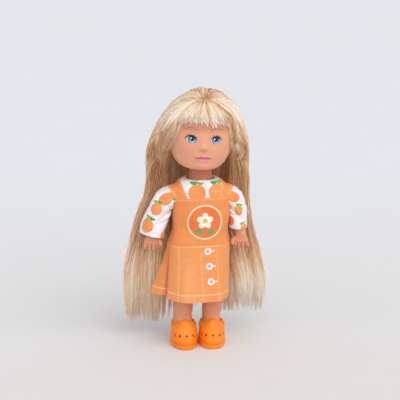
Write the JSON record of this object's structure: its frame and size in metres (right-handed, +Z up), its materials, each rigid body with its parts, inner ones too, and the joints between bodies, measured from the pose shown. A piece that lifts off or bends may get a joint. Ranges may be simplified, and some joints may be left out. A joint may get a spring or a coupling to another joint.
{
  "type": "jointed fashion doll",
  "caption": "Small jointed child fashion doll with long straight hair, a printed pinafore dress and clogs; the head, arms and legs turn.",
  "frame": {"origin": "middle of the doll's footprint on the floor, under the middle of its overall box", "axes": "+Z up from the soles to the crown, -Y the way the doll faces, +X the doll's left"},
  "size_m": [0.067, 0.0344, 0.1196],
  "materials": {
    "vinyl_skin": "matte",
    "hard_skin": "satin",
    "hair_fibre": "satin",
    "orange_cloth": "satin",
    "white_cloth": "satin",
    "orange_rubber": "satin",
    "touch_tape": "matte"
  },
  "bodies": {
    "torso": {"torso_front": "hard_skin", "torso_back": "hard_skin", "neck_knob": "hard_skin", "hip_pin": "hard_skin", "bodice_front": "orange_cloth", "bodice_back_left": "orange_cloth", "bodice_back_right": "orange_cloth", "neck_binding": "white_cloth", "loop_tape": "touch_tape", "hook_tape": "touch_tape", "skirt_front": "orange_cloth", "skirt_back_left": "orange_cloth", "skirt_back_right": "orange_cloth"},
    "head": {"head": "vinyl_skin", "hair_crown": "hair_fibre", "hair_fringe": "hair_fibre", "hair_left": "hair_fibre", "hair_right": "hair_fibre", "hair_back": "hair_fibre"},
    "arm_left": {"arm_left": "vinyl_skin", "sleeve_left": "white_cloth"},
    "arm_right": {"arm_right": "vinyl_skin", "sleeve_right": "white_cloth"},
    "leg_left": {"leg_left": "vinyl_skin", "clog_left": "orange_rubber"},
    "leg_right": {"leg_right": "vinyl_skin", "clog_right": "orange_rubber"}
  },
  "joints": [
    {"name": "head_turn", "type": "hinge", "parent": "torso", "child": "head", "pos_m": [0.00102, -0.00112, 0.084], "axis": [0, 0, 1], "range_deg": [-75, 75], "deforming": ["hair_left", "hair_right", "hair_back"]},
    {"name": "shoulder_left", "type": "hinge", "parent": "torso", "child": "arm_left", "pos_m": [0.01882, -0.00112, 0.0704], "axis": [-1, 0, 0], "range_deg": [-30, 130]},
    {"name": "shoulder_right", "type": "hinge", "parent": "torso", "child": "arm_right", "pos_m": [-0.01678, -0.00112, 0.0704], "axis": [-1, 0, 0], "range_deg": [-30, 130]},
    {"name": "hip_left", "type": "hinge", "parent": "torso", "child": "leg_left", "pos_m": [0.00812, -0.00112, 0.043], "axis": [-1, 0, 0], "range_deg": [-20, 90], "deforming": ["skirt_front", "skirt_back_left"]},
    {"name": "hip_right", "type": "hinge", "parent": "torso", "child": "leg_right", "pos_m": [-0.00608, -0.00112, 0.043], "axis": [-1, 0, 0], "range_deg": [-20, 90], "deforming": ["skirt_back_right"]}
  ]
}
